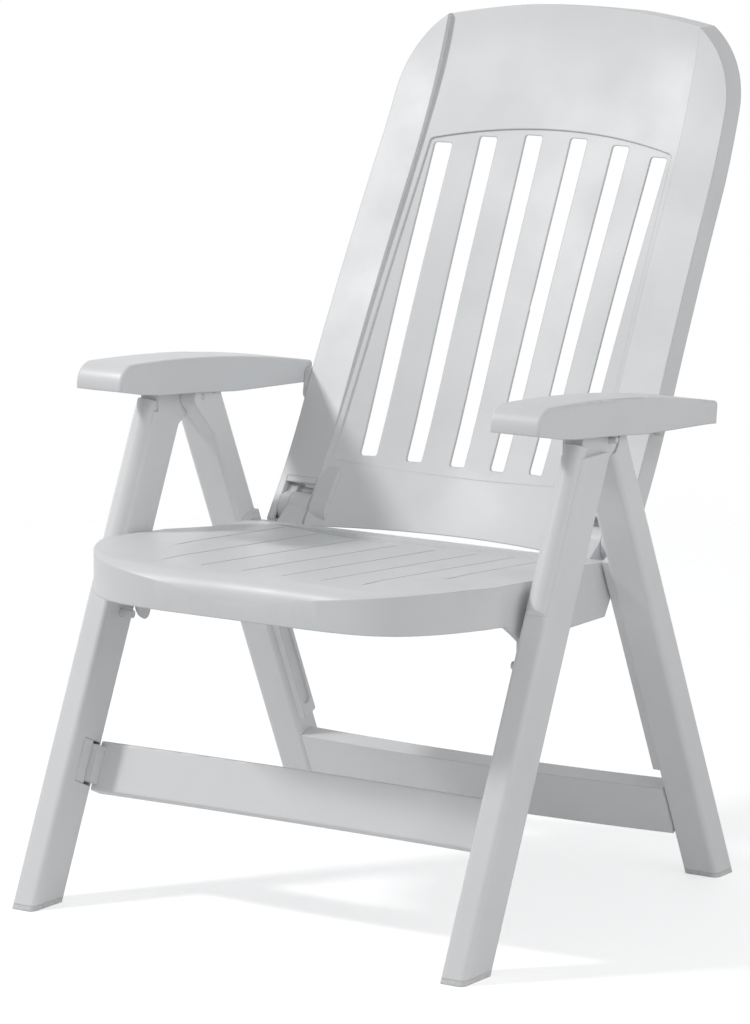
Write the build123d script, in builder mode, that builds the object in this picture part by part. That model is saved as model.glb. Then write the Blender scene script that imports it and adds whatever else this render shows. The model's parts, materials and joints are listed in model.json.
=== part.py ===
"""White folding armchair of moulded resin, its arms notched for four backrest positions.

Millimetres, +Z up, the chair faces -Y and is mirrored about X=0, origin on the floor below the
middle of the bounding box. Side planes are drawn with y to the rear and z up.
"""
from build123d import *
from math import sin, cos, tan, radians, degrees
import os

os.makedirs("parts", exist_ok=True)

# Frame
feet_mid_y = -105.04          # the middle between the four toes, measured in the part's frame
overrun = 60.0              # how far cutting shapes run past the solid
skin = 4.0                  # wall of the large mouldings
side_skin = 3.5             # wall of the arms' sides
gap = 0.3                   # clearance between pieces that pass each other
run_gap = 0.05              # radial running clearance of the hinge pins
seat_gap = 0.02             # face gap of fixed joints

# Pivots seen from the side, y from the middle of the feet
apex = (33.0, 603.0)
seat_pivot = (-114.0, 346.0)
back_hinge = (183.0, 441.0)
arm_hinge = (261.0, 604.0)
arm_link_pivot = (256.75, 580.4)   # the arm link's hinge in the backrest
slide_rest = (137.0, 420.0)

# Legs
front_lean = 24.3
rear_lean = 24.5
leg_gap = 0.6               # from the apex line to each leg's facing edge
leg_inner = 298.0
leg_width = 35.0
leg_outer = leg_inner + leg_width
front_depth = 60.4
head_width = 27.0
head_outer = leg_inner + head_width
head_radius = 18.0
head_front = (18.0, -43.0)  # centre of the head's front round along and across the leg
head_top = 591.0
bulge = 8.0
bulge_end = 222.0
bulge_cut = 26.0
leg_round = 7.0
rear_outer = head_outer
rear_width = 50.0
rear_inner = rear_outer - rear_width
rear_depth = 40.0
tongue_gap = 0.4
tongue_outer = leg_inner - tongue_gap
scoop_radius = 22.8         # clears the front leg's head flank when folded
leg_wall = 4.5
leg_pocket = 300.0
cap_lift = 6.0              # height of a foot cap's sole
cap_plug = 14.0

# Track for the slider pin, along and across the rear leg
track_height = 10.5           # how far the track stands in from the leg's inner face
track_inner = rear_inner - track_height
track_cut = 3.5
track_floor = track_inner + track_cut
track_start = 190.0
track_end = 505.0
track_near = 6.0
track_far = 31.4
slider_radius = 7.0
slider_gap = 0.4
slider_outer = track_floor - slider_gap
slider_travel = 270.6

# Rails, along and across their legs
front_rail_from = 455.0
front_rail_to = 519.0
front_rail_near = -3.0
front_rail_thick = 22.0
front_rail_bow = 12.0
rail_tab_front = -20.0
mortise_front = -40.0
rear_rail_from = 530.0
rear_rail_to = 600.0
rear_rail_thick = 22.0
rear_rail_bow = 6.0

# Pins
hinge_radius = 5.0
arm_pin_radius = 6.0
arm_link_radius = 9.0
pin_bore_depth = 14.0
boss_radius = 11.0

# Seat
seat_front = -295.0
seat_front_corner = -266.0
seat_front_knee = -205.0
seat_side_knee = -150.0
seat_wide = 289.0
seat_narrow = 262.0
seat_wide_end = -34.0
seat_narrow_start = 30.0
seat_rear = 152.0
seat_skirt = 362.0
seat_front_skirt = 387.0
seat_corner = 46.0
ear_radius = 22.0
knuckle_radius = 18.0
knuckle_inner = 205.0
knuckle_width = 30.0
knuckle_outer = knuckle_inner + knuckle_width
link_width = 15.0
link_outer = knuckle_outer + link_width
link_reach = 25.0            # from the seat's hinge axis to the back's, up the back's line
link_foot_radius = 14.0
link_head_radius = 10.0
ear_width = 17.7
ear_outer = leg_inner - gap
ear_inner = ear_outer - ear_width
slider_inner = seat_narrow + gap
neck_foot = (136.0, 410.0)
neck_foot_radius = 14.0
seat_rear_round = 10.0
groove_depth = 1.5
groove_width = 2.0
groove_sides = (29.0, 88.0, 146.0, 200.0)
groove_start = -235.0
groove_end = 104.0
seat_ribs = (-200.0, -100.0, 0.0, 60.0)
seat_rib_low = 406.0
seat_nose = ((-294.0, 424.0), (-286.0, 442.0), (-262.0, 450.5))
seat_line = ((-262.0, 450.5), (-60.0, 442.5), (140.0, 430.0))
dish_half = 212.0
dish_depth = 7.0            # sagitta of the dish across its half width
dish_lip = 1.6              # its front end below the seat's top
dish_sunk = 5.5             # its rear end below the seat's top line
dish_start = -252.0
dish_end = 112.0

# Backrest
back_start = (176.0, 464.0)
back_angle = 34.0
back_arcs = ((930.0, 8.0), (5400.0, -3.5), (955.0, 14.0))
back_depth = 34.0
cheek_inner = 250.3
back_half = 260.0
inner_knuckle = 180.0
back_top = 1078.0
back_top_side = (190.0, 1060.0)
back_shoulder = (249.0, 958.0)
back_shoulder_way = (-0.06, 1.0)
back_waist = (253.5, 870.0)
back_hip = (260.0, 610.0)
back_round = 7.0
back_low = 425.0
seat_clear = 1.5            # room between the seat's rear edge and the back's foot
back_tail = 47.0            # straight stretch of the back's line below its start
cheek_top = 36.5            # how far above the hinge the knuckle openings reach
centre_half_low = 206.0
centre_half_top = 188.0
plate = 5.0                 # wall of the dished centre
centre_depth = 46.0
shallow_from = 700.0        # above this height the centre is no deeper than the wings
dish_step = 6.0             # how far the centre lies behind the wings at its edges
dish_stations = ((-60.0, 28.0), (60.0, 32.0), (300.0, 24.0), (500.0, 12.0), (740.0, 6.0))
panel_half_low = 196.0
panel_half_top = 182.0
panel_low = 505.0
panel_low_middle = 492.0
panel_top = 902.0
panel_top_middle = 921.0
panel_step = 2.0
panel_round = 6.0
slot_low = ((30.0, 504.0), (91.5, 506.0), (153.0, 510.0))
slot_top = ((34.0, 912.0), (100.0, 907.0), (163.0, 897.0))
slot_low_width = 21.5
slot_top_width = 26.0
slot_round = 4.0
back_ribs = (560.0, 640.0, 720.0, 800.0, 880.0)
rib_wall = 3.0

# Arm
arm_side_gap = 8.0             # room for the hinge link between the back and the arm
arm_inner = back_half + arm_side_gap
arm_overhang = 6.0
arm_outer = leg_outer + arm_overhang
arm_nose = ((-151.0, 633.0), (-144.5, 655.5), (-122.0, 664.5))
arm_top = ((-122.0, 664.5), (10.0, 656.5), (270.0, 620.0))
arm_low_line = ((267.0, 592.0), (243.0, 594.0), (98.0, 602.0), (4.0, 612.0), (-65.0, 618.0), (-107.0, 624.0))
arm_round = 5.0
arm_ribs = (-90.0, -45.0, 125.0, 165.0, 205.0)
arm_rib_depth = 9.0
arm_ear = 7.0
rack_ahead = 12.0
rack_behind = 2.0
rack_side_gap = 6.2           # lets the rack pass the step of the leg's head
rack_inner = head_outer + rack_side_gap
rack_outer = arm_outer - side_skin / 2
notch_pitch = 13.3
notch_count = 4
notch_steep = 60.0
notch_slope = 33.0
tooth_depth = 6.5
pin_radius = 4.0
rack_gap = 0.35
rail_ribs = (-225.0, -135.0, -45.0, 45.0, 135.0, 225.0)
rail_rib = 3.0
rail_round = 3.0
tongue_inset = 8.0

# Planes
side = Plane(origin=(0, feet_mid_y, 0), x_dir=(0, 1, 0), z_dir=(1, 0, 0))
plan = Plane(origin=(0, feet_mid_y, 0), x_dir=(1, 0, 0), z_dir=(0, 0, 1))
front = Plane(origin=(0, feet_mid_y, 0), x_dir=(1, 0, 0), z_dir=(0, -1, 0))


def leg_plane(lean, way):
    """Side plane of a leg: x down the leg from the apex, y across it to the rear."""
    a = radians(lean)
    return Plane(origin=(0, feet_mid_y + apex[0], apex[1]), x_dir=(0, way * sin(a), -cos(a)), z_dir=(1, 0, 0))


def on_leg(point, lean, way):
    """A point of the side view as distances along and across a leg."""
    a = radians(lean)
    dy, dz = point[0] - apex[0], point[1] - apex[1]
    return (way * dy * sin(a) - dz * cos(a), dy * cos(a) + way * dz * sin(a))


def rail_plane(leg_side, start):
    """Plane across a leg frame, square to the legs, looking down them."""
    origin = leg_side.from_local_coords((start, 0, 0))
    return Plane(origin=(0, origin.Y, origin.Z), x_dir=(1, 0, 0), z_dir=leg_side.x_dir)


def bar(start, stop, near, far):
    """Rectangle along and across a leg in the sketch in use."""
    Polygon((start, near), (stop, near), (stop, far), (start, far), align=None)


def back_edge(inset):
    """The back's side line set back by an inset, in the line in use; gives its two ends."""
    a = radians(back_angle)
    start = (back_start[0] + inset * cos(a), back_start[1] - inset * sin(a))
    ends = [start]
    way = (sin(a), cos(a))
    for radius, turn in back_arcs:
        arc = JernArc(ends[-1], way, radius + (inset if turn > 0 else -inset), turn)
        way = arc % 1
        ends.append(arc @ 1)
    return ends[0], ends[-1]


def back_point(reach, inset):
    """Point at a distance up the back's side line, set back by an inset."""
    y, z = back_start
    a = radians(back_angle)
    for radius, turn in back_arcs:
        step = min(reach, radius * abs(radians(turn)))
        sweep = step / radius * (1 if turn > 0 else -1)
        y += step * sin(a - sweep / 2)
        z += step * cos(a - sweep / 2)
        a -= sweep
        reach -= step
    return (y + inset * cos(a), z - inset * sin(a))


front_leg_side = leg_plane(front_lean, -1)
rear_leg_side = leg_plane(rear_lean, 1)
leg_run = apex[1] / cos(radians(rear_lean)) + overrun
front_near = -leg_gap - front_depth
rear_far = leg_gap + rear_depth
front_rail_plane = rail_plane(front_leg_side, front_rail_from)
rear_rail_plane = rail_plane(rear_leg_side, rear_rail_from)

# Front leg, left
rib_inset = leg_round / 3
with BuildPart() as leg_rib:
    with BuildSketch(rail_plane(front_leg_side, bulge_cut)):
        with BuildLine():
            round_front = ThreePointArc(
                (leg_inner + rib_inset, -front_near - leg_round),
                ((leg_inner + leg_outer) / 2, -front_near + bulge),
                (leg_outer - rib_inset, -front_near - leg_round),
            )
            Line(round_front @ 0, round_front @ 1)
        make_face()
    extrude(amount=bulge_end)
    with BuildSketch(front_leg_side.offset(leg_inner)):
        Polygon(
            (0, front_near + head_radius),
            (bulge_cut + head_radius, front_near - bulge - head_radius),
            (bulge_end, front_near - bulge - head_radius),
            (bulge_end + bulge_cut, front_near + head_radius),
            align=None,
        )
    extrude(amount=leg_outer - leg_inner, mode=Mode.INTERSECT)

with BuildPart() as front_leg:
    with BuildSketch(rail_plane(front_leg_side, head_radius)):
        with Locations(((leg_inner + leg_outer) / 2, leg_gap + front_depth / 2)):
            RectangleRounded(leg_outer - leg_inner, front_depth, leg_round)
    extrude(amount=leg_run - head_radius)
    with BuildSketch(side.offset(leg_inner)):
        with Locations((0, head_top)):
            Rectangle(leg_run, overrun, align=(Align.CENTER, Align.MIN))
    extrude(amount=leg_outer - leg_inner, mode=Mode.SUBTRACT)
    add(leg_rib.part)
    with BuildSketch(front_leg_side.offset(leg_inner)):
        Circle(head_radius)
        with Locations(head_front):
            Circle(head_radius)
        bar(2 * head_radius, 3 * head_radius, front_near + 2 * leg_round, -leg_gap - 2 * leg_round)
        make_hull()
    extrude(amount=head_outer - leg_inner)
    pivot = on_leg(seat_pivot, front_lean, -1)
    with BuildSketch(front_leg_side.offset(leg_inner)):
        with Locations(pivot):
            Circle(hinge_radius + seat_gap)
    extrude(amount=pin_bore_depth, mode=Mode.SUBTRACT)
    with BuildSketch(front_leg_side.offset(leg_inner)):
        Circle(pin_radius + seat_gap)
    extrude(amount=leg_outer - leg_inner, mode=Mode.SUBTRACT)
    with BuildSketch(front_leg_side.offset(leg_inner + leg_wall)):
        bar(leg_run - leg_pocket, leg_run, front_near + leg_wall, -leg_gap - leg_wall)
    extrude(amount=leg_outer - leg_inner - 2 * leg_wall, mode=Mode.SUBTRACT)
    with BuildSketch(front_leg_side.offset(leg_inner)):
        bar(front_rail_from + skin, front_rail_to - skin, mortise_front, -leg_gap - leg_wall - gap / 2)
    extrude(amount=2 * leg_wall, mode=Mode.SUBTRACT)
    split(bisect_by=Plane.XY.offset(cap_lift), keep=Keep.TOP)

with BuildPart() as front_foot_cap:
    with BuildSketch(front_leg_side.offset(leg_inner)):
        bar(leg_run - leg_pocket, leg_run, front_near, -leg_gap)
    extrude(amount=leg_outer - leg_inner)
    fillet(front_foot_cap.edges().filter_by(Axis((0, 0, 0), front_leg_side.x_dir)), leg_round)
    split(bisect_by=Plane.XY.offset(cap_lift), keep=Keep.BOTTOM)
    with BuildSketch(front_leg_side.offset(leg_inner + leg_wall + gap)):
        bar(leg_run - leg_pocket, leg_run, front_near + leg_wall + gap, -leg_gap - leg_wall - gap)
    extrude(amount=leg_outer - leg_inner - 2 * leg_wall - 2 * gap)
    split(bisect_by=Plane.XY.offset(cap_lift + cap_plug), keep=Keep.BOTTOM)
    split(bisect_by=Plane.XY, keep=Keep.TOP)

# Front rail, a bowed channel open to the rear with a tongue in each leg
with BuildPart() as front_rail:
    with BuildSketch(front_rail_plane):
        with BuildLine():
            face = ThreePointArc(
                (-leg_inner, -front_rail_near), (0, -front_rail_near + front_rail_bow), (leg_inner, -front_rail_near)
            )
            rear_y = -front_rail_near - front_rail_thick
            back = ThreePointArc((-leg_inner, rear_y), (0, rear_y + front_rail_bow), (leg_inner, rear_y))
            Line(face @ 0, back @ 0)
            Line(face @ 1, back @ 1)
        make_face()
    extrude(amount=front_rail_to - front_rail_from)
    fillet(front_rail.faces().sort_by(Axis.Y)[0].edges().filter_by(GeomType.CIRCLE), rail_round)
    with BuildSketch(front_rail_plane.offset(skin)):
        with BuildLine():
            face = ThreePointArc(
                (-leg_inner + skin, -front_rail_near - skin),
                (0, -front_rail_near + front_rail_bow - skin),
                (leg_inner - skin, -front_rail_near - skin),
            )
            Line(face @ 0, (-leg_inner + skin, rear_y - overrun))
            Line((-leg_inner + skin, rear_y - overrun), (leg_inner - skin, rear_y - overrun))
            Line((leg_inner - skin, rear_y - overrun), face @ 1)
        make_face()
        for x in rail_ribs:
            with Locations((x, 0)):
                Rectangle(rail_rib, leg_run, mode=Mode.SUBTRACT)
    extrude(amount=front_rail_to - front_rail_from - 2 * skin, mode=Mode.SUBTRACT)
    for way in (-1, 1):
        with BuildSketch(front_leg_side.offset(way * (leg_inner - 2 * skin))):
            bar(front_rail_from + tongue_inset, front_rail_to - tongue_inset, rail_tab_front, skin)
        extrude(amount=way * (2 * skin - gap))
        with BuildSketch(front_leg_side.offset(way * (leg_inner - skin))):
            bar(
                front_rail_from + tongue_inset, front_rail_to - tongue_inset,
                rail_tab_front, -leg_gap - leg_wall - gap,
            )
        extrude(amount=way * (skin + leg_wall + tongue_inset))

# Rear leg, left
with BuildPart() as rear_leg:
    with BuildSketch(rear_leg_side.offset(rear_inner)):
        bar(head_radius / 2, leg_run, leg_gap, rear_far)
    extrude(amount=rear_outer - rear_inner)
    fillet(rear_leg.edges().filter_by(Axis((0, 0, 0), rear_leg_side.x_dir)), leg_round)
    with BuildSketch(rear_leg_side.offset(tongue_outer)):
        Circle(scoop_radius)
    extrude(amount=rear_outer - rear_inner, mode=Mode.SUBTRACT)
    with BuildSketch(rear_leg_side.offset(rear_inner)):
        Circle(head_radius)
        bar(head_radius + rear_depth / 2, head_radius + rear_depth, leg_gap, rear_far - leg_round)
        make_hull()
    extrude(amount=tongue_outer - rear_inner)
    with BuildSketch(rear_leg_side.offset(track_inner)):
        bar(track_start, track_end, track_near, track_far)
    extrude(amount=rear_inner - track_inner + leg_round)
    slide = on_leg(slide_rest, rear_lean, 1)
    with BuildSketch(rear_leg_side.offset(track_inner)):
        with Locations((slide[0] + slider_travel / 2, slide[1])):
            SlotCenterToCenter(slider_travel, 2 * (slider_radius + gap))
    extrude(amount=track_floor - track_inner, mode=Mode.SUBTRACT)
    with BuildSketch(rear_leg_side.offset(rear_inner)):
        Circle(pin_radius + run_gap)
    extrude(amount=tongue_outer - rear_inner, mode=Mode.SUBTRACT)
    with BuildSketch(rear_leg_side.offset(rear_inner + leg_wall)):
        bar(leg_run - leg_pocket, leg_run, leg_gap + leg_wall, rear_far - leg_wall)
    extrude(amount=rear_outer - rear_inner - 2 * leg_wall, mode=Mode.SUBTRACT)
    with BuildSketch(rear_leg_side.offset(rear_inner)):
        bar(
            rear_rail_from + tongue_inset - gap, rear_rail_to - tongue_inset + gap,
            leg_gap + leg_wall, leg_gap + rear_rail_thick - leg_wall + gap,
        )
    extrude(amount=leg_wall, mode=Mode.SUBTRACT)
    split(bisect_by=Plane.XY.offset(cap_lift), keep=Keep.TOP)

with BuildPart() as rear_foot_cap:
    with BuildSketch(rear_leg_side.offset(rear_inner)):
        bar(leg_run - leg_pocket, leg_run, leg_gap, rear_far)
    extrude(amount=rear_outer - rear_inner)
    fillet(rear_foot_cap.edges().filter_by(Axis((0, 0, 0), rear_leg_side.x_dir)), leg_round)
    split(bisect_by=Plane.XY.offset(cap_lift), keep=Keep.BOTTOM)
    with BuildSketch(rear_leg_side.offset(rear_inner + leg_wall + gap)):
        bar(leg_run - leg_pocket, leg_run, leg_gap + leg_wall + gap, rear_far - leg_wall - gap)
    extrude(amount=rear_outer - rear_inner - 2 * leg_wall - 2 * gap)
    split(bisect_by=Plane.XY.offset(cap_lift + cap_plug), keep=Keep.BOTTOM)
    split(bisect_by=Plane.XY, keep=Keep.TOP)

# Rear rail, a bowed channel open to the rear
with BuildPart() as rear_rail:
    with BuildSketch(rear_rail_plane):
        with BuildLine():
            face = ThreePointArc((-rear_inner, -leg_gap), (0, -leg_gap + rear_rail_bow), (rear_inner, -leg_gap))
            rear_y = -leg_gap - rear_rail_thick
            back = ThreePointArc((-rear_inner, rear_y), (0, rear_y + rear_rail_bow), (rear_inner, rear_y))
            Line(face @ 0, back @ 0)
            Line(face @ 1, back @ 1)
        make_face()
    extrude(amount=rear_rail_to - rear_rail_from)
    with BuildSketch(rear_rail_plane.offset(skin)):
        with BuildLine():
            face = ThreePointArc(
                (-rear_inner + skin, -leg_gap - skin),
                (0, -leg_gap + rear_rail_bow - skin),
                (rear_inner - skin, -leg_gap - skin),
            )
            Line(face @ 0, (-rear_inner + skin, rear_y - overrun))
            Line((-rear_inner + skin, rear_y - overrun), (rear_inner - skin, rear_y - overrun))
            Line((rear_inner - skin, rear_y - overrun), face @ 1)
        make_face()
        for x in rail_ribs:
            with Locations((x, 0)):
                Rectangle(rail_rib, leg_run, mode=Mode.SUBTRACT)
    extrude(amount=rear_rail_to - rear_rail_from - 2 * skin, mode=Mode.SUBTRACT)
    for way in (-1, 1):
        with BuildSketch(rear_leg_side.offset(way * (rear_inner - skin))):
            bar(
                rear_rail_from + tongue_inset, rear_rail_to - tongue_inset,
                leg_gap + leg_wall + gap, leg_gap + rear_rail_thick - leg_wall,
            )
        extrude(amount=way * (skin + leg_wall + tongue_inset))


def pin(where, radius, start, stop):
    """Plain hinge pin along X."""
    with BuildPart() as turned:
        with BuildSketch(side.offset(start)):
            with Locations(where):
                Circle(radius)
        extrude(amount=stop - start)
    return turned.part


apex_pin = pin(apex, pin_radius, rear_inner, arm_outer - side_skin - gap)
seat_pivot_pin = pin(seat_pivot, hinge_radius, ear_inner + gap, leg_inner + pin_bore_depth - gap)
slider_pin = pin(slide_rest, slider_radius, slider_inner, slider_outer)

# Hinge links, left, each a plate with a stud on either side
up = (sin(radians(back_angle)), cos(radians(back_angle)))
recline_axis = (back_hinge[0] + link_reach * up[0], back_hinge[1] + link_reach * up[1])
with BuildPart() as back_hinge_link:
    with BuildSketch(side.offset(knuckle_outer + gap)):
        with Locations(back_hinge):
            Circle(link_foot_radius)
        with Locations(recline_axis):
            Circle(link_head_radius)
        make_hull()
    extrude(amount=link_outer - knuckle_outer - gap)
    add(pin(back_hinge, hinge_radius, knuckle_inner + skin / 2, link_outer - skin))
    add(pin(recline_axis, hinge_radius, inner_knuckle + skin, back_half - skin / 2))
with BuildPart() as arm_hinge_link:
    with BuildSketch(side.offset(back_half + gap)):
        for where in (arm_hinge, arm_link_pivot):
            with Locations(where):
                Circle(arm_link_radius)
        make_hull()
    extrude(amount=arm_inner - back_half - 2 * gap)
    add(pin(arm_link_pivot, arm_pin_radius, back_half - pin_bore_depth / 2, arm_inner - 2 * gap))
    add(pin(arm_hinge, arm_pin_radius, back_half + 2 * gap, arm_inner + arm_ear - gap))

# Seat shell


def seat_block(inset, drop):
    """Plan outline of the seat, drawn in by a wall, between the floor and the top line."""
    wide, narrow = seat_wide - inset, seat_narrow - inset
    with BuildPart() as block:
        with BuildSketch(plan) as outline:
            with BuildLine():
                nose = ThreePointArc(
                    (-wide, seat_front_corner + inset), (0, seat_front + inset), (wide, seat_front_corner + inset)
                )
                Polyline(
                    nose @ 1, (wide, seat_wide_end), (narrow, seat_narrow_start),
                    (narrow, seat_rear - inset), (-narrow, seat_rear - inset),
                    (-narrow, seat_narrow_start), (-wide, seat_wide_end), nose @ 0,
                )
            make_face()
            fillet(outline.vertices().group_by(Axis.Y)[0], seat_corner - inset)
        extrude(amount=leg_run)
        with BuildSketch(side):
            with BuildLine():
                nose = ThreePointArc(*[(y, z - drop) for y, z in seat_nose])
                top = ThreePointArc(*[(y, z - drop) for y, z in seat_line])
                Polyline(
                    top @ 1, (seat_rear, seat_line[-1][1] - drop - seat_rear_round / 2), (seat_rear, 0),
                    (seat_front, 0), (seat_front, seat_nose[0][1] - drop - seat_rear_round), nose @ 0,
                )
            make_face()
        extrude(amount=leg_run, both=True, mode=Mode.INTERSECT)
    return block.part


def seat_dish(extra):
    """Wide round hollow of the seat's top, with an extra depth for the grooves in it."""
    dish_radius = (dish_half**2 + dish_depth**2) / (2 * dish_depth)
    start = Vector(0, feet_mid_y + dish_start, seat_nose[2][1] - dish_lip - extra)
    end = Vector(0, feet_mid_y + dish_end, seat_line[-1][1] - dish_sunk - extra)
    run = end - start
    centre = start + Vector(0, -run.Z, run.Y).normalized() * dish_radius
    with BuildPart() as dish:
        with BuildSketch(Plane(origin=centre, x_dir=(1, 0, 0), z_dir=run)):
            Circle(dish_radius)
        extrude(amount=run.length)
    return dish.part


seat_outside = seat_block(0, 0)
seat_inside = seat_block(skin, skin + dish_depth)
with BuildPart() as seat_grid:
    with BuildSketch(plan.offset(seat_rib_low)):
        for y in seat_ribs:
            with Locations((0, y)):
                Rectangle(2 * seat_narrow, rib_wall)
        for x in groove_sides:
            for way in (-1, 1):
                with Locations((way * x, 0)):
                    Rectangle(rib_wall, 2 * (seat_rear - skin / 2))
    extrude(amount=leg_run)
    add(seat_block(skin / 2, dish_depth + skin / 2), mode=Mode.INTERSECT)
with BuildPart() as seat_grooves:
    with BuildSketch(plan):
        for x in groove_sides:
            for way in (-1, 1):
                with Locations((way * x, (groove_start + groove_end) / 2)):
                    Rectangle(groove_width, groove_end - groove_start)
    extrude(amount=leg_run)
    add(seat_dish(groove_depth), mode=Mode.INTERSECT)
with BuildPart() as seat:
    add(seat_outside)
    with BuildSketch(side):
        Polygon(
            (seat_front - overrun, 0), (seat_front - overrun, seat_front_skirt), (seat_front_knee, seat_front_skirt),
            (seat_side_knee, seat_skirt), (seat_rear - ear_radius, seat_skirt),
            (seat_rear, neck_foot[1] - neck_foot_radius), (seat_rear + overrun, 0), align=None,
        )
    extrude(amount=leg_run, both=True, mode=Mode.SUBTRACT)
    add(seat_dish(0), mode=Mode.SUBTRACT)
    add(seat_inside, mode=Mode.SUBTRACT)
    add(seat_grid.part)
    add(seat_grooves.part, mode=Mode.SUBTRACT)
    for way in (-1, 1):
        with BuildSketch(side.offset(way * ear_inner)):
            with Locations(seat_pivot):
                Circle(ear_radius)
            with Locations((seat_pivot[0], seat_line[-1][1] - ear_radius)):
                Circle(ear_radius)
            make_hull()
        extrude(amount=way * (ear_outer - ear_inner))
        with BuildSketch(side.offset(way * knuckle_inner)):
            with Locations(back_hinge):
                Circle(knuckle_radius)
            with Locations(neck_foot):
                Circle(neck_foot_radius)
            make_hull()
        extrude(amount=way * (knuckle_outer - knuckle_inner))
        with BuildSketch(side.offset(way * knuckle_inner)):
            with Locations(back_hinge):
                Circle(hinge_radius + run_gap)
        extrude(amount=way * (knuckle_outer - knuckle_inner), mode=Mode.SUBTRACT)
        with BuildSketch(side.offset(way * ear_inner)):
            with Locations(seat_pivot):
                Circle(hinge_radius + run_gap)
        extrude(amount=way * (ear_outer - ear_inner), mode=Mode.SUBTRACT)

# Backrest shell


def back_normal(reach):
    """Lean of the back's line from the vertical at a distance up it."""
    a = back_angle
    for radius, turn in back_arcs:
        step = min(max(reach, 0), radius * abs(radians(turn)))
        a -= degrees(step / radius) * (1 if turn > 0 else -1)
        reach -= step
    return radians(a)


def back_band(near, far):
    """Layer of the back between two insets, over its full width."""
    a = radians(back_angle)
    with BuildPart() as band:
        with BuildSketch(side.offset(-back_half)):
            with BuildLine():
                front_line = back_edge(near)
                rear_line = back_edge(far)
                tail = [Vector(end) - Vector(sin(a), cos(a)) * back_tail for end in (front_line[0], rear_line[0])]
                Polyline(front_line[0], tail[0], tail[1], rear_line[0])
                Line(front_line[1], rear_line[1])
            make_face()
        extrude(amount=2 * back_half)
    return band.part


def back_outline(inset):
    """Front outline of the back, drawn in by a wall."""
    with BuildPart() as prism:
        with BuildSketch(front):
            with BuildLine():
                Polyline((-back_half, back_low), (back_half, back_low), back_hip, back_waist, back_shoulder)
                TangentArc(back_shoulder, back_top_side, tangent=back_shoulder_way)
                ThreePointArc(back_top_side, (0, back_top), (-back_top_side[0], back_top_side[1]))
                TangentArc(
                    (-back_shoulder[0], back_shoulder[1]), (-back_top_side[0], back_top_side[1]),
                    tangent=(-back_shoulder_way[0], back_shoulder_way[1]),
                )
                Polyline(
                    (-back_shoulder[0], back_shoulder[1]), (-back_waist[0], back_waist[1]),
                    (-back_hip[0], back_hip[1]), (-back_half, back_low),
                )
            make_face()
            if inset:
                offset(amount=-inset, mode=Mode.REPLACE)
        extrude(amount=leg_run, both=True)
    return prism.part


def centre_prism(grow):
    """The back's centre between the wings, from the bottom past the top, grown by a wall."""
    with BuildPart() as prism:
        with BuildSketch(front):
            Polygon(
                (-centre_half_low - grow, back_low - overrun), (centre_half_low + grow, back_low - overrun),
                (centre_half_top + grow, back_top + overrun), (-centre_half_top - grow, back_top + overrun),
                align=None,
            )
        extrude(amount=leg_run, both=True)
    return prism.part


def before_dish(extra):
    """Everything in front of the dished centre's face, lofted through sections square to the back."""
    with BuildPart() as room:
        for reach, depth in dish_stations:
            a = back_normal(reach)
            foot = back_point(max(reach, 0), 0)
            foot = (foot[0] + min(reach, 0) * sin(a), foot[1] + min(reach, 0) * cos(a))
            across = Plane(origin=(0, feet_mid_y + foot[0], foot[1]), x_dir=(1, 0, 0), z_dir=(0, sin(a), cos(a)))
            with BuildSketch(across):
                with BuildLine():
                    dish = ThreePointArc(
                        (-back_half, dish_step + extra - dish_flare * depth),
                        (0, dish_step + depth + extra),
                        (back_half, dish_step + extra - dish_flare * depth),
                    )
                    Polyline(dish @ 0, (-back_half, -overrun), (back_half, -overrun), dish @ 1)
                make_face()
        loft()
    return room.part


back_reach = sum(radius * abs(radians(turn)) for radius, turn in back_arcs)
dish_flare = (back_half / centre_half_top) ** 2 - 1
centre_hole = centre_prism(0)
centre_wall = centre_prism(skin)
before_face = before_dish(0)
before_rear = before_dish(plate)
back_inside = back_outline(skin)
with BuildPart() as wing_hollow:
    add(back_band(skin, centre_depth + overrun))
    add(back_inside, mode=Mode.INTERSECT)
    add(centre_wall, mode=Mode.SUBTRACT)
with BuildPart() as deep_centre:
    add(centre_wall)
    with BuildSketch(front):
        with Locations((0, shallow_from)):
            Rectangle(2 * back_half, back_top, align=(Align.CENTER, Align.MIN))
    extrude(amount=leg_run, both=True, mode=Mode.SUBTRACT)
with BuildPart() as wing_rear_cut:
    add(back_band(back_depth, centre_depth + overrun))
    add(deep_centre.part, mode=Mode.SUBTRACT)
with BuildPart() as centre_front:
    add(before_face)
    add(centre_hole, mode=Mode.INTERSECT)
with BuildPart() as centre_rear:
    add(centre_hole)
    add(back_inside, mode=Mode.INTERSECT)
    add(before_rear, mode=Mode.SUBTRACT)
with BuildPart() as panel_step_cut:
    with BuildSketch(front) as outline:
        with BuildLine():
            low = ThreePointArc((-panel_half_low, panel_low), (0, panel_low_middle), (panel_half_low, panel_low))
            high = ThreePointArc((-panel_half_top, panel_top), (0, panel_top_middle), (panel_half_top, panel_top))
            Line(low @ 0, high @ 0)
            Line(low @ 1, high @ 1)
        make_face()
        fillet(outline.vertices(), panel_round)
    extrude(amount=leg_run, both=True)
    add(before_dish(panel_step), mode=Mode.INTERSECT)


def slot_prisms(grow):
    """The six slots, seen from the front, grown by a wall."""
    low_half, top_half = slot_low_width / 2 + grow, slot_top_width / 2 + grow
    with BuildPart() as prisms:
        for low, top in zip(slot_low, slot_top):
            for way in (-1, 1):
                with BuildSketch(front) as slot:
                    Polygon(
                        (way * low[0] - low_half, low[1] - grow), (way * low[0] + low_half, low[1] - grow),
                        (way * top[0] + top_half, top[1] + grow), (way * top[0] - top_half, top[1] + grow),
                        align=None,
                    )
                    fillet(slot.vertices(), slot_round)
                extrude(amount=leg_run, both=True)
    return prisms.part


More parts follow.
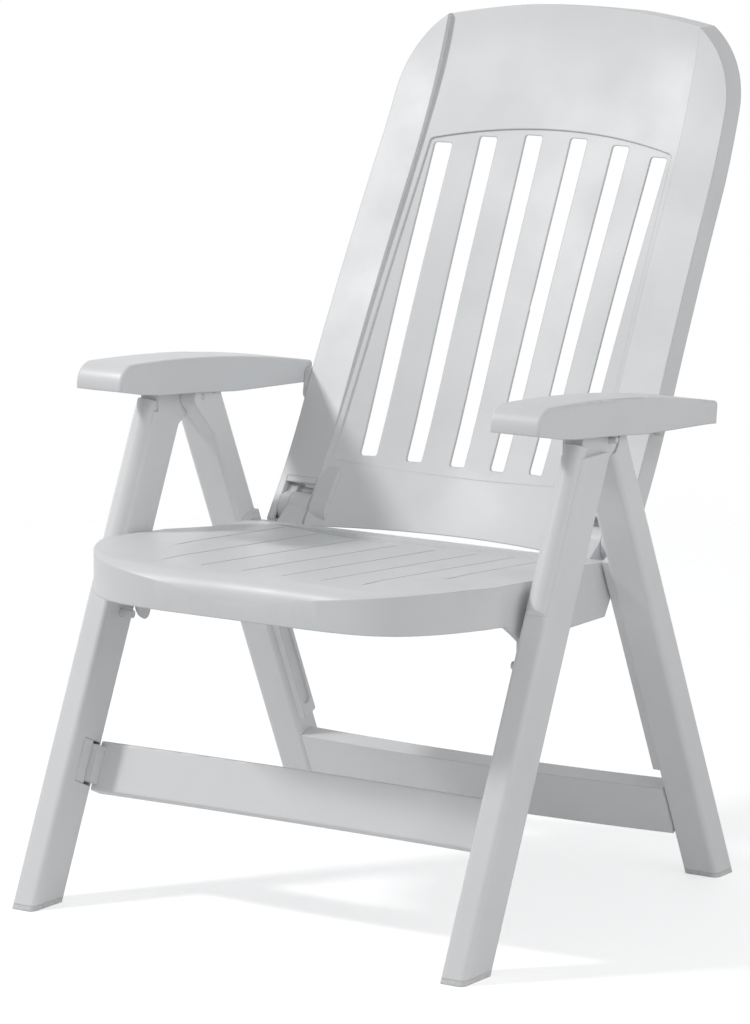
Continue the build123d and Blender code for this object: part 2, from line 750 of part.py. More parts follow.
slots = slot_prisms(0)
with BuildPart() as back_grid:
    with BuildSketch(front):
        for z in back_ribs:
            with Locations((0, z)):
                Rectangle(2 * back_half, rib_wall)
    extrude(amount=leg_run, both=True)
    add(back_band(skin / 2, back_depth - skin), mode=Mode.INTERSECT)
    add(back_outline(skin / 2), mode=Mode.INTERSECT)
    add(centre_prism(skin / 2), mode=Mode.SUBTRACT)
with BuildPart() as backrest:
    add(back_band(0, centre_depth))
    add(back_outline(0), mode=Mode.INTERSECT)
    with BuildSketch(side):
        with Locations((seat_rear + seat_clear, 0)):
            Rectangle(leg_run, leg_run, align=(Align.MAX, Align.MIN))
    extrude(amount=leg_run, both=True, mode=Mode.SUBTRACT)
    for cut in (wing_rear_cut, wing_hollow, centre_front, centre_rear, panel_step_cut):
        add(cut.part, mode=Mode.SUBTRACT)
    add(slots, mode=Mode.SUBTRACT)
    add(back_grid.part)
    for way in (-1, 1):
        with BuildSketch(side.offset(way * inner_knuckle)):
            with Locations(back_hinge):
                Circle(knuckle_radius)
            Polygon(
                back_point(cheek_top + skin, skin), back_point(cheek_top + skin, back_depth),
                back_point(cheek_top, back_depth), back_point(cheek_top, skin), align=None,
            )
            make_hull()
        extrude(amount=way * (back_half - inner_knuckle))
        with BuildSketch(side.offset(way * (knuckle_inner - gap))):
            with Locations(back_hinge):
                Circle(knuckle_radius + 2 * gap)
            Polygon(
                (back_hinge[0] - overrun, back_hinge[1]), (back_hinge[0] - overrun, back_hinge[1] - overrun),
                (back_hinge[0] + overrun * up[1], back_hinge[1] - overrun * up[0]),
                (back_hinge[0] + cheek_top * up[0] + overrun * up[1], back_hinge[1] + cheek_top * up[1] - overrun * up[0]),
                (back_hinge[0] + cheek_top * up[0] - overrun * up[1], back_hinge[1] + cheek_top * up[1] + overrun * up[0]),
                align=None,
            )
        extrude(amount=way * (cheek_inner - knuckle_inner + gap), mode=Mode.SUBTRACT)
        with BuildSketch(side.offset(way * inner_knuckle)):
            with Locations(recline_axis):
                Circle(hinge_radius + run_gap)
        extrude(amount=way * (back_half - skin / 2 - inner_knuckle), mode=Mode.SUBTRACT)
        with BuildSketch(side.offset(way * (back_half - pin_bore_depth))):
            with Locations(arm_link_pivot):
                Circle(boss_radius)
        extrude(amount=way * (pin_bore_depth - skin / 2))
        with BuildSketch(side.offset(way * (back_half - pin_bore_depth / 2))):
            with Locations(arm_link_pivot):
                Circle(arm_pin_radius + run_gap)
        extrude(amount=way * overrun, mode=Mode.SUBTRACT)

# Armrest, left, a channel open below with the notched rack inside


def arm_prism(start, stop, inset):
    """Side outline of the arm, drawn in by a wall, between two widths."""
    with BuildPart() as prism:
        with BuildSketch(side.offset(start)) as outline:
            with BuildLine():
                nose = ThreePointArc(*arm_nose)
                top = ThreePointArc(*arm_top)
                Polyline(top @ 1, *arm_low_line, nose @ 0)
            make_face()
            if inset:
                offset(amount=-inset, mode=Mode.REPLACE)
            if inset == skin:
                Polygon(
                    (arm_low_line[0][0] - 2 * inset, arm_low_line[0][1] + 2 * inset),
                    (arm_low_line[0][0] - 2 * inset, arm_low_line[0][1] - overrun),
                    (arm_low_line[-1][0] - 4 * inset, arm_low_line[0][1] - overrun),
                    (arm_low_line[-1][0] - 4 * inset, arm_low_line[-1][1] + 2 * inset),
                    align=None,
                )
        extrude(amount=stop - start)
    return prism.part


arm_outside = arm_prism(arm_inner, arm_outer, 0)
arm_inside = arm_prism(arm_inner + side_skin, arm_outer - side_skin, skin)
notch_radius = pin_radius + rack_gap
rack_low = apex[1] + notch_radius - tooth_depth
steep, slope = radians(notch_steep), radians(notch_slope)
with BuildPart() as rack:
    with BuildSketch(side.offset(rack_inner)):
        Polygon(
            (apex[0] - rack_ahead, rack_low),
            (apex[0] - rack_ahead, rack_low + overrun),
            (apex[0] + notch_count * notch_pitch + rack_behind, rack_low + overrun),
            (apex[0] + notch_count * notch_pitch + rack_behind, rack_low + rack_behind),
            (apex[0] + notch_count * notch_pitch - notch_radius, rack_low),
            align=None,
        )
        for i in range(notch_count):
            notch = (apex[0] + i * notch_pitch, apex[1])
            front_flank = (notch[0] - notch_radius * sin(steep), notch[1] + notch_radius * cos(steep))
            rear_flank = (notch[0] + notch_radius * sin(slope), notch[1] + notch_radius * cos(slope))
            tip = notch[0] + notch_pitch - notch_radius * sin(steep)
            with Locations(notch):
                Circle(notch_radius, mode=Mode.SUBTRACT)
            Polygon(
                front_flank,
                rear_flank,
                (tip, rear_flank[1] - (tip - rear_flank[0]) * tan(slope)),
                (tip, rack_low - skin),
                (front_flank[0] - (front_flank[1] - rack_low + skin) / tan(steep), rack_low - skin),
                align=None,
                mode=Mode.SUBTRACT,
            )
    extrude(amount=rack_outer - rack_inner)
    add(arm_outside, mode=Mode.INTERSECT)
with BuildPart() as arm_grid:
    with BuildSketch(plan):
        for y in arm_ribs:
            with Locations(((arm_inner + arm_outer) / 2, y)):
                Rectangle(arm_outer - arm_inner - side_skin, rib_wall)
    extrude(amount=leg_run)
    add(arm_prism(arm_inner, arm_outer, skin / 2), mode=Mode.INTERSECT)
    with BuildSketch(side.offset(arm_inner)):
        with BuildLine():
            top = ThreePointArc(*[(y, z - skin - arm_rib_depth) for y, z in arm_top])
            Polyline(top @ 1, (arm_hinge[0], 0), (arm_nose[0][0], 0), (arm_nose[0][0], arm_nose[0][1]), top @ 0)
        make_face()
    extrude(amount=arm_outer - arm_inner, mode=Mode.SUBTRACT)
with BuildPart() as armrest:
    add(arm_outside)
    top_edges = armrest.faces().filter_by(Axis.X).edges().filter_by(GeomType.CIRCLE)
    fillet(top_edges, arm_round)
    add(arm_inside, mode=Mode.SUBTRACT)
    add(arm_grid.part)
    add(rack.part)
    with BuildSketch(side.offset(arm_inner)):
        with Locations(arm_hinge):
            Circle(boss_radius)
    extrude(amount=arm_ear)
    with BuildSketch(side.offset(arm_inner)):
        with Locations(arm_hinge):
            Circle(arm_pin_radius + run_gap)
    extrude(amount=arm_ear, mode=Mode.SUBTRACT)


def keep(name, solid):
    """Name a finished piece and write its file."""
    solid.label = name
    export_step(solid, f"parts/{name}.step")


keep("front_rail", front_rail.part)
keep("rear_rail", rear_rail.part)
keep("seat", seat.part)
keep("backrest", backrest.part)
pairs = {
    "front_leg": front_leg.part,
    "front_foot_cap": front_foot_cap.part,
    "rear_leg": rear_leg.part,
    "rear_foot_cap": rear_foot_cap.part,
    "apex_pin": apex_pin,
    "seat_pivot_pin": seat_pivot_pin,
    "slider_pin": slider_pin,
    "back_hinge_link": back_hinge_link.part,
    "arm_hinge_link": arm_hinge_link.part,
    "armrest": armrest.part,
}
for name, solid in pairs.items():
    keep(f"{name}_right", mirror(solid, about=Plane.YZ))
    keep(f"{name}_left", solid)
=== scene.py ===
"""White folding armchair: finishes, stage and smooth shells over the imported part, in metres."""
import json
import math

import bmesh
import bpy
from mathutils import Matrix, Vector

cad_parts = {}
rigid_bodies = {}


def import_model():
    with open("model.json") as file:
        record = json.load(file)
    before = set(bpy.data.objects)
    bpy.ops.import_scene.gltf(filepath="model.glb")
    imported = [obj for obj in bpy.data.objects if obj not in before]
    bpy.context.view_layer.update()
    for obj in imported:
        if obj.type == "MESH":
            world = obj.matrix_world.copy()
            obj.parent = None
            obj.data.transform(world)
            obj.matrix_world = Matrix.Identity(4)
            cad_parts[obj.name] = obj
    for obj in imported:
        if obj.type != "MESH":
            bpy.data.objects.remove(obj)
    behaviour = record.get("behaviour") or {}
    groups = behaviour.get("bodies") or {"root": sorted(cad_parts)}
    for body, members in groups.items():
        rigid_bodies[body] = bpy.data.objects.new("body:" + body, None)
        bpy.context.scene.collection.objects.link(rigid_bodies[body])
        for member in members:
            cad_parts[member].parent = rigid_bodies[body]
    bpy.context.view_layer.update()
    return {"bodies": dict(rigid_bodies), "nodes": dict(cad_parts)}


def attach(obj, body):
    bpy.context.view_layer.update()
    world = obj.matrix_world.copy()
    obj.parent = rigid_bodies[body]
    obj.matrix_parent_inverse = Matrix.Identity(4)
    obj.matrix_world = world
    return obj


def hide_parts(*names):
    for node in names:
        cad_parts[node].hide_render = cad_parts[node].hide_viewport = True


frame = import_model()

bl_info = {
    "name": "White folding armchair",
    "version": (1, 0, 0),
    "blender": (4, 5, 0),
    "location": "3D View > Sidebar > Armchair",
    "description": "Dresses the packed folding armchair with moulded resin and a pale studio",
    "category": "Object",
}

SIDES = {"left": 1, "right": -1}

# Back hinge and rail sockets, seen from the side: places as (y, z), in metres, and angles in degrees
APEX = (-0.07204, 0.603)
FRONT_LEAN = 24.3
PLUG = (0.4593, 0.5147, -0.0397, -0.0203, 0.2984, 0.3066)   # down and across the leg, and outwards
BACK_HINGE = (0.07796, 0.441)
BACK_LEAN = 34.0
COVER = (0.0285, 0.0375, 0.0155, 0.0187, 0.2053, 0.2502)    # up and forward of the hinge, and outwards
BARREL_FROM, BARREL_TO, BARREL_RADIUS = 0.2353, 0.2499, 0.021
SLEEVE_IN, SLEEVE_OUT, SLEEVE_BORE = 0.2052, 0.235, 0.0183
SLEEVE_FROM, SLEEVE_TO = -20.0, 183.0   # from the rear over the top to the front
SLEEVE_STEPS = 30
BARREL_SEGMENTS = 48
SHARP_ANGLE = math.radians(32)          # edges that turn more than this stay crisp

# Seat: where it is cut across before it is reshaped, by the direction of the cuts
STATION = 0.012
ON_STATION = STATION / 40               # a point this near to a cut lies on it
SIDE_STATIONS, FRONT_CUTS = 24, 17
CUT_START, CUT_STEP = -0.39, 0.015
CUTS = {
    (1, 0, 0): [i * STATION for i in range(-SIDE_STATIONS, SIDE_STATIONS + 1)],
    (0, 1, 0): [CUT_START + i * CUT_STEP for i in range(FRONT_CUTS)],
}
MERGE, CUT_TOLERANCE = 0.00001, 0.000001

# Seat: its shape afterwards
SEAT_STILL = -0.15                      # behind this it keeps its shape
SEAT_NOSE_LOW = 0.424                   # below this its front hem is lifted
HEM_LIFT = 0.36                         # share of the way up to there
SEAT_FRONT, SEAT_HALF = -0.4, 0.289     # its foremost point and half its width
CORNER_RETREAT, CORNER_CURVE = 0.135, 5.8   # how far its sides lie behind that, and the curve's power

# Moulded resin: the size and detail of each noise, the stretch of it that is used, and what it does
FLOW, FLOW_SPAN, FLOW_SHADE = (0.11, 3.0), (0.35, 0.7), 0.955
FLOW_ROUGH_SPAN, FLOW_ROUGH = (0.3, 0.75), 0.09
GRAIN_DETAIL, GRAIN_SPAN, GRAIN_ROUGH, GRAIN_STRENGTH = (2.0, 0.6), (0.3, 0.7), (-0.03, 0.04), 0.5
SPECK, SPECK_SPAN, SPECK_SHADE, SPECK_SHARE = (0.004, 1.0), (0.68, 0.8), 0.9, 0.25
SCUFF, SCUFF_SPAN, SCUFF_COLOUR = (0.006, 4.0, 0.7), (0.45, 0.75), (0.46, 0.45, 0.43, 1)
BEVEL_SAMPLES, RESIN_IOR = 6, 1.5

# Lamps, the key from the view's upper left and a weak fill from its right:
# name, side length, turn from the camera and height angle in degrees, distance
KEY_LAMP = ("key_lamp", 0.4, -86.0, 42.0, 3.4)
FILL_LAMP = ("fill_lamp", 2.2, 48.0, 24.0, 3.6)

# Floor, room and camera
FLOOR_SEGMENTS = 96
FLOOR_SPECK, FLOOR_SPECK_SPAN = (0.02, 4.0), (0.3, 0.7)
FLOOR_TINTS = (0.9, 0.9, 0.9, 1), (0.93, 0.93, 0.93, 1)
FLOOR_ROUGH, FLOOR_SHINE = 0.62, 0.3
FLOOR_FADE = (0.35, 0.95)               # shares of the floor's reach between which it fades
ROOM_LIGHT = (0.97, 0.985, 1.0, 1)
WHITE = (1, 1, 1, 1)
CLIP_END = 60
MIX_FIRST, MIX_SECOND, MIX_RESULT = 6, 7, 2   # the Mix node's colour sockets


class ResinSettings(bpy.types.PropertyGroup):
    """Colours and surface of the moulded resin."""

    shell_colour: bpy.props.FloatVectorProperty(
        name="Shell colour", description="Seat, backrest and arms", default=(0.78, 0.79, 0.8),
        subtype="COLOR", min=0, max=1,
    )
    frame_colour: bpy.props.FloatVectorProperty(
        name="Frame colour", description="Legs and rails", default=(0.83, 0.835, 0.84),
        subtype="COLOR", min=0, max=1,
    )
    pin_colour: bpy.props.FloatVectorProperty(
        name="Pin colour", description="Pins and hinge links", default=(0.74, 0.74, 0.73),
        subtype="COLOR", min=0, max=1,
    )
    sole_colour: bpy.props.FloatVectorProperty(
        name="Sole colour", description="Foot caps, a little scuffed", default=(0.76, 0.76, 0.75),
        subtype="COLOR", min=0, max=1,
    )
    edge_radius: bpy.props.FloatProperty(
        name="Edge radius", description="How soft the moulded edges look", default=0.0025, unit="LENGTH"
    )
    grain_size: bpy.props.FloatProperty(
        name="Grain size", description="Width of one grain of the satin texture", default=0.0011,
        unit="LENGTH",
    )
    grain_depth: bpy.props.FloatProperty(
        name="Grain depth", description="Height of the satin texture", default=0.00006, unit="LENGTH"
    )


class StageSettings(bpy.types.PropertyGroup):
    """Camera, floor and lamps."""

    azimuth: bpy.props.FloatProperty(
        name="Camera azimuth", description="Turn from the chair's front to its left",
        default=math.radians(33.38), subtype="ANGLE",
    )
    elevation: bpy.props.FloatProperty(
        name="Camera elevation", description="Height angle of the camera", default=math.radians(10.35),
        subtype="ANGLE",
    )
    distance: bpy.props.FloatProperty(
        name="Camera distance", description="From the middle of the chair", default=6.5, unit="LENGTH"
    )
    aim: bpy.props.FloatVectorProperty(
        name="Camera aim", description="Point in the middle of the view",
        default=(0.0069, -0.1035, 0.4873), subtype="TRANSLATION",
    )
    lens: bpy.props.FloatProperty(
        name="Lens", description="Focal length in millimetres", default=184.7
    )
    key_power: bpy.props.FloatProperty(
        name="Key lamp", description="Watts of the key lamp", default=44.0
    )
    fill_power: bpy.props.FloatProperty(
        name="Fill lamp", description="Watts of the fill lamp", default=18.0
    )
    sky_strength: bpy.props.FloatProperty(
        name="Sky", description="Strength of the even light", default=0.42
    )
    floor_glow: bpy.props.FloatProperty(
        name="Floor glow", description="How much the floor lifts towards the white backdrop in view",
        default=0.45,
    )
    floor_reach: bpy.props.FloatProperty(
        name="Floor reach", description="Where the floor has faded to the backdrop", default=3.2,
        unit="LENGTH",
    )


class Socket:
    """A shader value that takes part in Python sums by adding Math nodes."""

    def __init__(self, finish, link):
        self.finish = finish
        self.link = link

    def __add__(self, other):
        return self.finish.node("ShaderNodeMath", {"operation": "ADD"}, {0: self, 1: other})

    __radd__ = __add__

    def __mul__(self, other):
        return self.finish.node("ShaderNodeMath", {"operation": "MULTIPLY"}, {0: self, 1: other})

    __rmul__ = __mul__


class Finish:
    """The nodes of a material or a world under construction."""

    def __init__(self, owner, end="ShaderNodeOutputMaterial"):
        owner.use_nodes = True
        self.owner = owner
        self.end = end
        self.tree = owner.node_tree
        self.tree.nodes.clear()

    def node(self, kind, settings=None, values=None, output=0):
        """Adds a node of a type with its settings and the values or links of its sockets."""
        made = self.tree.nodes.new(kind)
        for key, value in (settings or {}).items():
            setattr(made, key, value)
        for key, value in (values or {}).items():
            if isinstance(value, Socket):
                self.tree.links.new(value.link, made.inputs[key])
            else:
                made.inputs[key].default_value = value
        return Socket(self, made.outputs[output]) if made.outputs else made

    def place(self):
        """Coordinates in metres that move with the piece."""
        return self.node("ShaderNodeTexCoord", output="Object")

    def noise(self, size, detail, rough=0.5):
        """Even noise with features of a size."""
        return self.node(
            "ShaderNodeTexNoise", {},
            {"Vector": self.place(), "Scale": 1 / size, "Detail": detail, "Roughness": rough},
        )

    def span(self, value, low, high, to_low=0.0, to_high=1.0):
        """Maps a stretch of a value to another, held at its ends."""
        return self.node(
            "ShaderNodeMapRange", {"clamp": True},
            {"Value": value, "From Min": low, "From Max": high, "To Min": to_low, "To Max": to_high},
        )

    def blend(self, factor, first, second):
        """Mixes two colours."""
        values = {"Factor": factor, MIX_FIRST: first, MIX_SECOND: second}
        return self.node("ShaderNodeMix", {"data_type": "RGBA"}, values, MIX_RESULT)

    def close(self, shader):
        """Ends the nodes with the surface shader and gives back what they belong to."""
        self.node(self.end, {}, {"Surface": shader})
        return self.owner


def resin(name, colour, shine, worn=0.0):
    """White moulded resin: satin grain, faint flow marks, soft edges and scuffs near the floor."""
    look = bpy.context.scene.resin_settings
    finish = Finish(bpy.data.materials.new(name))
    flow = finish.noise(*FLOW)
    grain = finish.noise(look.grain_size, *GRAIN_DETAIL)
    speck = finish.noise(*SPECK)
    shade, dark = (tuple(c * share for c in colour) for share in (FLOW_SHADE, SPECK_SHADE))
    base = finish.blend(finish.span(flow, *FLOW_SPAN), (*colour, 1), (*shade, 1))
    base = finish.blend(finish.span(speck, *SPECK_SPAN, 0.0, SPECK_SHARE), base, (*dark, 1))
    if worn:
        scuffs = finish.span(finish.noise(*SCUFF), *SCUFF_SPAN)
        base = finish.blend(scuffs * worn, base, SCUFF_COLOUR)
    flow_rough = finish.span(flow, *FLOW_ROUGH_SPAN, shine, shine + FLOW_ROUGH)
    roughness = flow_rough + finish.span(grain, *GRAIN_SPAN, *GRAIN_ROUGH)
    soft = finish.node("ShaderNodeBevel", {"samples": BEVEL_SAMPLES}, {"Radius": look.edge_radius})
    bump = {"Strength": GRAIN_STRENGTH, "Distance": look.grain_depth, "Height": grain, "Normal": soft}
    bumped = finish.node("ShaderNodeBump", {}, bump)
    values = {"Base Color": base, "Roughness": roughness, "Normal": bumped, "IOR": RESIN_IOR}
    return finish.close(finish.node("ShaderNodeBsdfPrincipled", {}, values))


def dress(material, *names):
    """Gives carried-over nodes of the part a finish."""
    for name in names:
        for slot in frame["nodes"][name].material_slots:
            slot.link = "OBJECT"
            slot.material = material


def table_value(table, key):
    """Value between the rows of a table of (key, value), held at its ends."""
    for (low, first), (high, second) in zip(table, table[1:]):
        if key <= high:
            return first + (second - first) * max(key - low, 0) / (high - low)
    return table[-1][1]


def front_line(points):
    """The foremost y at each place where the mesh was cut across, as a table of (half width, y)."""
    found = {}
    for x, y, _ in points:
        step = round(abs(x) / STATION)
        if abs(abs(x) - step * STATION) < ON_STATION:
            found[step] = min(y, found.get(step, y))
    return [(step * STATION, y) for step, y in sorted(found.items())]


def roll_seat_front(point, line):
    """Rounds the seat's front corners in plan and lifts its front hem."""
    x, y, z = point
    front = table_value(line, abs(x))
    rounded = SEAT_FRONT + CORNER_RETREAT * (abs(x) / SEAT_HALF) ** CORNER_CURVE
    share = min(max((SEAT_STILL - y) / (SEAT_STILL - front), 0), 1)
    y += share * (rounded - front)
    if z < SEAT_NOSE_LOW:
        z += share * HEM_LIFT * (SEAT_NOSE_LOW - z)
    return Vector((x, y, z))


def body_of(node):
    """Name of the body that carries a node."""
    return next(name for name, body in frame["bodies"].items() if frame["nodes"][node].parent == body)


def shown(name, mesh, material):
    """Shades a mesh, gives it its finish and puts it in the scene."""
    mesh.shade_smooth()
    mesh.set_sharp_from_angle(angle=SHARP_ANGLE)
    mesh.materials.clear()
    mesh.materials.append(material)
    piece = bpy.data.objects.new(name, mesh)
    bpy.context.scene.collection.objects.link(piece)
    return piece


def reshaped(name, node, move, material):
    """A copy of a node's mesh, cut across so that it bends smoothly, whose points a function moves."""
    source = frame["nodes"][node]
    mesh = source.data.copy()
    shape = bmesh.new()
    shape.from_mesh(mesh)
    bmesh.ops.remove_doubles(shape, verts=shape.verts, dist=MERGE)
    for normal, places in CUTS.items():
        for place in places:
            everything = shape.verts[:] + shape.edges[:] + shape.faces[:]
            at = Vector(normal) * place
            bmesh.ops.bisect_plane(
                shape, geom=everything, dist=CUT_TOLERANCE, plane_co=at, plane_no=normal
            )
    line = front_line([vertex.co for vertex in shape.verts])
    for vertex in shape.verts:
        vertex.co = move(vertex.co, line)
    shape.to_mesh(mesh)
    shape.free()
    if "custom_normal" in mesh.attributes:
        mesh.attributes.remove(mesh.attributes["custom_normal"])
    piece = shown(name, mesh, material)
    piece.matrix_world = source.matrix_world
    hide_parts(node)
    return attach(piece, body_of(node))


def new_piece(name, shape, material, body):
    """Ends a new piece: its mesh, finish and body."""
    mesh = bpy.data.meshes.new(name)
    shape.to_mesh(mesh)
    shape.free()
    piece = shown(name, mesh, material)
    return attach(piece, body)


def add_barrel(name, way, material):
    """Round collar that closes the hinge between the seat's knuckle and the back's cheek."""
    shape = bmesh.new()
    middle = Vector((way * (BARREL_FROM + BARREL_TO) / 2, *BACK_HINGE))
    place = Matrix.Translation(middle) @ Matrix.Rotation(math.pi / 2, 4, "Y")
    bmesh.ops.create_cone(
        shape, cap_ends=True, segments=BARREL_SEGMENTS, radius1=BARREL_RADIUS, radius2=BARREL_RADIUS,
        depth=BARREL_TO - BARREL_FROM, matrix=place,
    )
    new_piece(name, shape, material, body_of("back_hinge_link_left"))


def add_sleeve(name, way, material):
    """Sleeve over the front and top of the seat's knuckle, level with the collar."""
    shape = bmesh.new()
    turn_step = (SLEEVE_TO - SLEEVE_FROM) / SLEEVE_STEPS
    turns = [math.radians(SLEEVE_FROM + i * turn_step) for i in range(SLEEVE_STEPS + 1)]
    loop = [(BARREL_RADIUS, turn) for turn in turns] + [(SLEEVE_BORE, turn) for turn in reversed(turns)]
    points = [
        (BACK_HINGE[0] + r * math.cos(turn), BACK_HINGE[1] + r * math.sin(turn)) for r, turn in loop
    ]
    rings = [[shape.verts.new((way * x, y, z)) for y, z in points] for x in (SLEEVE_IN, SLEEVE_OUT)]
    for i in range(len(loop)):
        shape.faces.new((rings[0][i], rings[0][i - 1], rings[1][i - 1], rings[1][i]))
    last = len(loop) - 1
    for ring in rings:
        for i in range(SLEEVE_STEPS):
            shape.faces.new((ring[i], ring[i + 1], ring[last - 1 - i], ring[last - i]))
    bmesh.ops.recalc_face_normals(shape, faces=shape.faces)
    new_piece(name, shape, material, body_of("seat"))


def side_block(origin, first, second, sizes, way):
    """A block from and to the sizes along two directions seen from the side, and outwards."""
    shape = bmesh.new()
    start, end, near, far, inner, outer = sizes
    corners = [
        [origin[i] + a * first[i] + b * second[i] for i in (0, 1)]
        for a, b in ((start, near), (end, near), (end, far), (start, far))
    ]
    rings = [[shape.verts.new((way * x, y, z)) for y, z in corners] for x in (inner, outer)]
    for ring in rings:
        shape.faces.new(ring)
    for i in range(len(corners)):
        shape.faces.new((rings[0][i], rings[0][i - 1], rings[1][i - 1], rings[1][i]))
    bmesh.ops.recalc_face_normals(shape, faces=shape.faces)
    return shape


def add_plug(name, way):
    """Filler in the front leg's rail socket, ahead of the rail's end."""
    lean = math.radians(FRONT_LEAN)
    along, across = (-math.sin(lean), -math.cos(lean)), (math.cos(lean), -math.sin(lean))
    material = frame["nodes"]["front_rail"].material_slots[0].material
    shape = side_block(APEX, along, across, PLUG, way)
    new_piece(name, shape, material, body_of("front_rail"))


def add_cover(name, way, material):
    """Front wall over the upper part of the back's knuckle opening."""
    lean = math.radians(BACK_LEAN)
    up, ahead = (math.sin(lean), math.cos(lean)), (-math.cos(lean), math.sin(lean))
    shape = side_block(BACK_HINGE, up, ahead, COVER, way)
    new_piece(name, shape, material, body_of("backrest"))


class ARMCHAIR_OT_frame(bpy.types.Operator):
    """Finish the legs, rails, foot caps and pins"""

    bl_idname = "armchair.frame"
    bl_label = "Leg frames"

    def execute(self, context):
        look = context.scene.resin_settings
        legs = [f"{part}_{side}" for part in ("front_leg", "rear_leg") for side in SIDES]
        caps = [f"{part}_foot_cap_{side}" for part in ("front", "rear") for side in SIDES]
        kinds = ("apex_pin", "seat_pivot_pin", "slider_pin", "back_hinge_link", "arm_hinge_link")
        pins = [f"{kind}_{side}" for kind in kinds for side in SIDES]
        frame_resin = resin("frame_resin_satin", tuple(look.frame_colour), shine=0.34)
        dress(frame_resin, *legs, "front_rail", "rear_rail")
        dress(resin("sole_resin_scuffed", tuple(look.sole_colour), shine=0.5, worn=0.5), *caps)
        dress(resin("pin_resin_smooth", tuple(look.pin_colour), shine=0.28), *pins)
        return {"FINISHED"}


class ARMCHAIR_OT_shells(bpy.types.Operator):
    """Finish the seat, backrest and arms"""

    bl_idname = "armchair.shells"
    bl_label = "Seat, backrest and arms"

    def execute(self, context):
        look = context.scene.resin_settings
        shell = resin("shell_resin_satin", tuple(look.shell_colour), shine=0.38)
        dress(shell, "backrest", "armrest_left", "armrest_right")
        reshaped("rolled_seat", "seat", roll_seat_front, shell)
        for side, way in SIDES.items():
            add_barrel(f"hinge_collar_{side}", way, shell)
            add_sleeve(f"hinge_sleeve_{side}", way, shell)
            add_cover(f"hinge_cover_{side}", way, shell)
            add_plug(f"rail_socket_{side}", way)
        return {"FINISHED"}


class ARMCHAIR_OT_stage(bpy.types.Operator):
    """Add the floor, the lamps and the photograph's camera"""

    bl_idname = "armchair.stage"
    bl_label = "Stage"

    def execute(self, context):
        look = context.scene.stage_settings
        add_floor(look)
        add_camera(look)
        add_lamp(KEY_LAMP, look.key_power, look)
        add_lamp(FILL_LAMP, look.fill_power, look)
        add_sky(look)
        context.scene.view_settings.view_transform = "Standard"
        return {"FINISHED"}


def toward(azimuth, elevation):
    """Unit vector from the chair towards a bearing: azimuth 0 is its front, +90 degrees its left."""
    flat = math.cos(elevation)
    return Vector((math.sin(azimuth) * flat, -math.cos(azimuth) * flat, math.sin(elevation)))


def add_camera(look):
    """The photograph's camera."""
    data = bpy.data.cameras.new("photo_camera")
    data.lens = look.lens
    data.clip_end = CLIP_END
    camera = bpy.data.objects.new("photo_camera", data)
    camera.location = Vector(look.aim) + look.distance * toward(look.azimuth, look.elevation)
    camera.rotation_euler = (math.pi / 2 - look.elevation, 0, look.azimuth)
    bpy.context.scene.collection.objects.link(camera)
    bpy.context.scene.camera = camera


def add_lamp(lamp_values, power, look):
    """A square soft lamp that faces the chair."""
    name, size, turn, height, reach = lamp_values
    data = bpy.data.lights.new(name, "AREA")
    data.energy = power
    data.size = size
    lamp = bpy.data.objects.new(name, data)
    away = toward(look.azimuth + math.radians(turn), math.radians(height))
    lamp.location = Vector(look.aim) + reach * away
    lamp.rotation_euler = away.to_track_quat("Z", "Y").to_euler()
    bpy.context.scene.collection.objects.link(lamp)


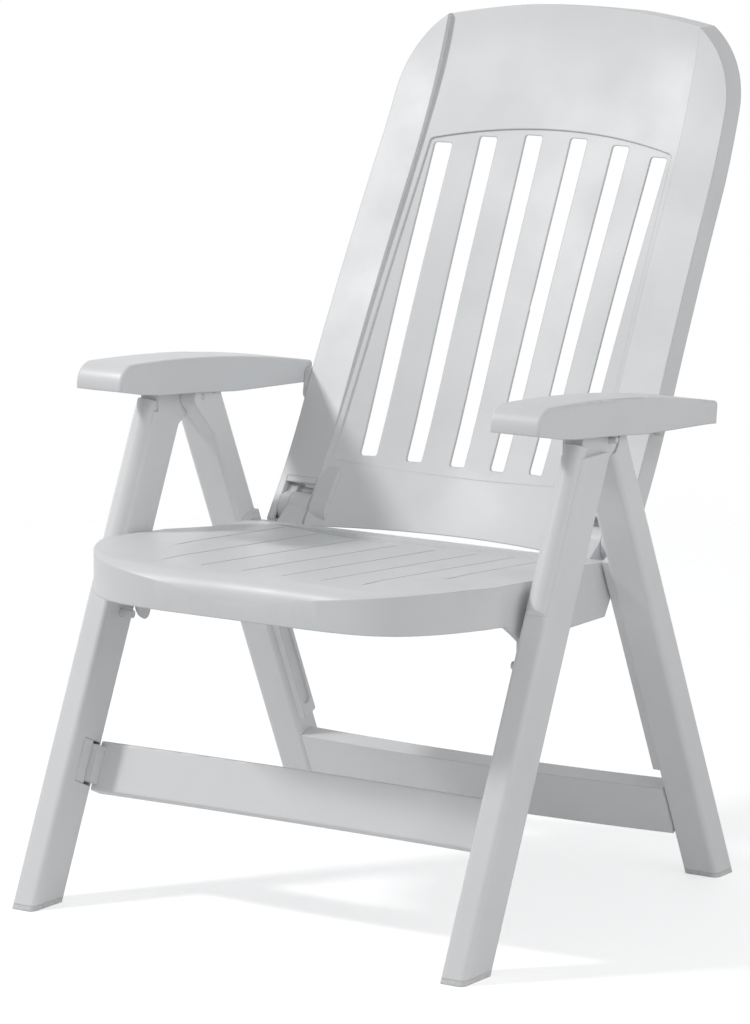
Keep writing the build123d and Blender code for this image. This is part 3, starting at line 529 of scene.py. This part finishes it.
def add_floor(look):
    """Pale floor that fades into the backdrop and keeps the shadows."""
    mesh = bpy.data.meshes.new("floor")
    shape = bmesh.new()
    bmesh.ops.create_circle(shape, cap_ends=True, segments=FLOOR_SEGMENTS, radius=look.floor_reach)
    shape.to_mesh(mesh)
    shape.free()
    floor = bpy.data.objects.new("floor", mesh)
    bpy.context.scene.collection.objects.link(floor)
    finish = Finish(bpy.data.materials.new("pale_floor"))
    place = finish.place()
    reach = finish.node("ShaderNodeVectorMath", {"operation": "LENGTH"}, {0: place}, output="Value")
    fade = finish.span(reach, *(share * look.floor_reach for share in FLOOR_FADE))
    speck = finish.noise(*FLOOR_SPECK)
    tint = finish.blend(finish.span(speck, *FLOOR_SPECK_SPAN), *FLOOR_TINTS)
    surface = {"Base Color": tint, "Roughness": FLOOR_ROUGH, "Specular IOR Level": FLOOR_SHINE}
    matt = finish.node("ShaderNodeBsdfPrincipled", {}, surface)
    glow = {"Emission Color": WHITE, "Emission Strength": look.floor_glow}
    bright = finish.node("ShaderNodeBsdfPrincipled", {}, {**surface, **glow})
    seen = finish.node("ShaderNodeLightPath", output="Is Camera Ray")
    lit = finish.node("ShaderNodeMixShader", {}, {0: seen, 1: matt, 2: bright})
    clear = finish.node("ShaderNodeBsdfTransparent")
    faded = finish.node("ShaderNodeMixShader", {}, {0: fade, 1: lit, 2: clear})
    mesh.materials.append(finish.close(faded))


def add_sky(look):
    """Even light that shows as a white backdrop to the camera, in gloss and through clear pieces."""
    sky = Finish(bpy.data.worlds.new("white_room"), "ShaderNodeOutputWorld")
    seen = sky.node("ShaderNodeLightPath", output="Is Camera Ray")
    for ray in ("Is Glossy Ray", "Is Transmission Ray"):
        path = sky.node("ShaderNodeLightPath", output=ray)
        seen = sky.node("ShaderNodeMath", {"operation": "MAXIMUM"}, {0: seen, 1: path})
    room = sky.node("ShaderNodeBackground", {}, {"Color": ROOM_LIGHT, "Strength": look.sky_strength})
    backdrop = sky.node("ShaderNodeBackground", {}, {"Color": WHITE, "Strength": 1.0})
    mixed = sky.node("ShaderNodeMixShader", {}, {0: seen, 1: room, 2: backdrop})
    bpy.context.scene.world = sky.close(mixed)


class ARMCHAIR_PT_panel(bpy.types.Panel):
    """Lists the armchair's settings and steps"""

    bl_idname = "ARMCHAIR_PT_panel"
    bl_label = "Folding armchair"
    bl_space_type = "VIEW_3D"
    bl_region_type = "UI"
    bl_category = "Armchair"

    def draw(self, context):
        for step in STEPS:
            self.layout.operator(step.bl_idname)
        for settings in (context.scene.resin_settings, context.scene.stage_settings):
            box = self.layout.box()
            for name in settings.__annotations__:
                box.prop(settings, name)


STEPS = (ARMCHAIR_OT_frame, ARMCHAIR_OT_shells, ARMCHAIR_OT_stage)
CLASSES = (ResinSettings, StageSettings, *STEPS, ARMCHAIR_PT_panel)


def register():
    for cls in CLASSES:
        bpy.utils.register_class(cls)
    bpy.types.Scene.resin_settings = bpy.props.PointerProperty(type=ResinSettings)
    bpy.types.Scene.stage_settings = bpy.props.PointerProperty(type=StageSettings)


def unregister():
    del bpy.types.Scene.stage_settings
    del bpy.types.Scene.resin_settings
    for cls in reversed(CLASSES):
        bpy.utils.unregister_class(cls)


def main():
    """Runs every step."""
    register()
    bpy.ops.armchair.frame()
    bpy.ops.armchair.shells()
    bpy.ops.armchair.stage()


if __name__ == "__main__":
    main()
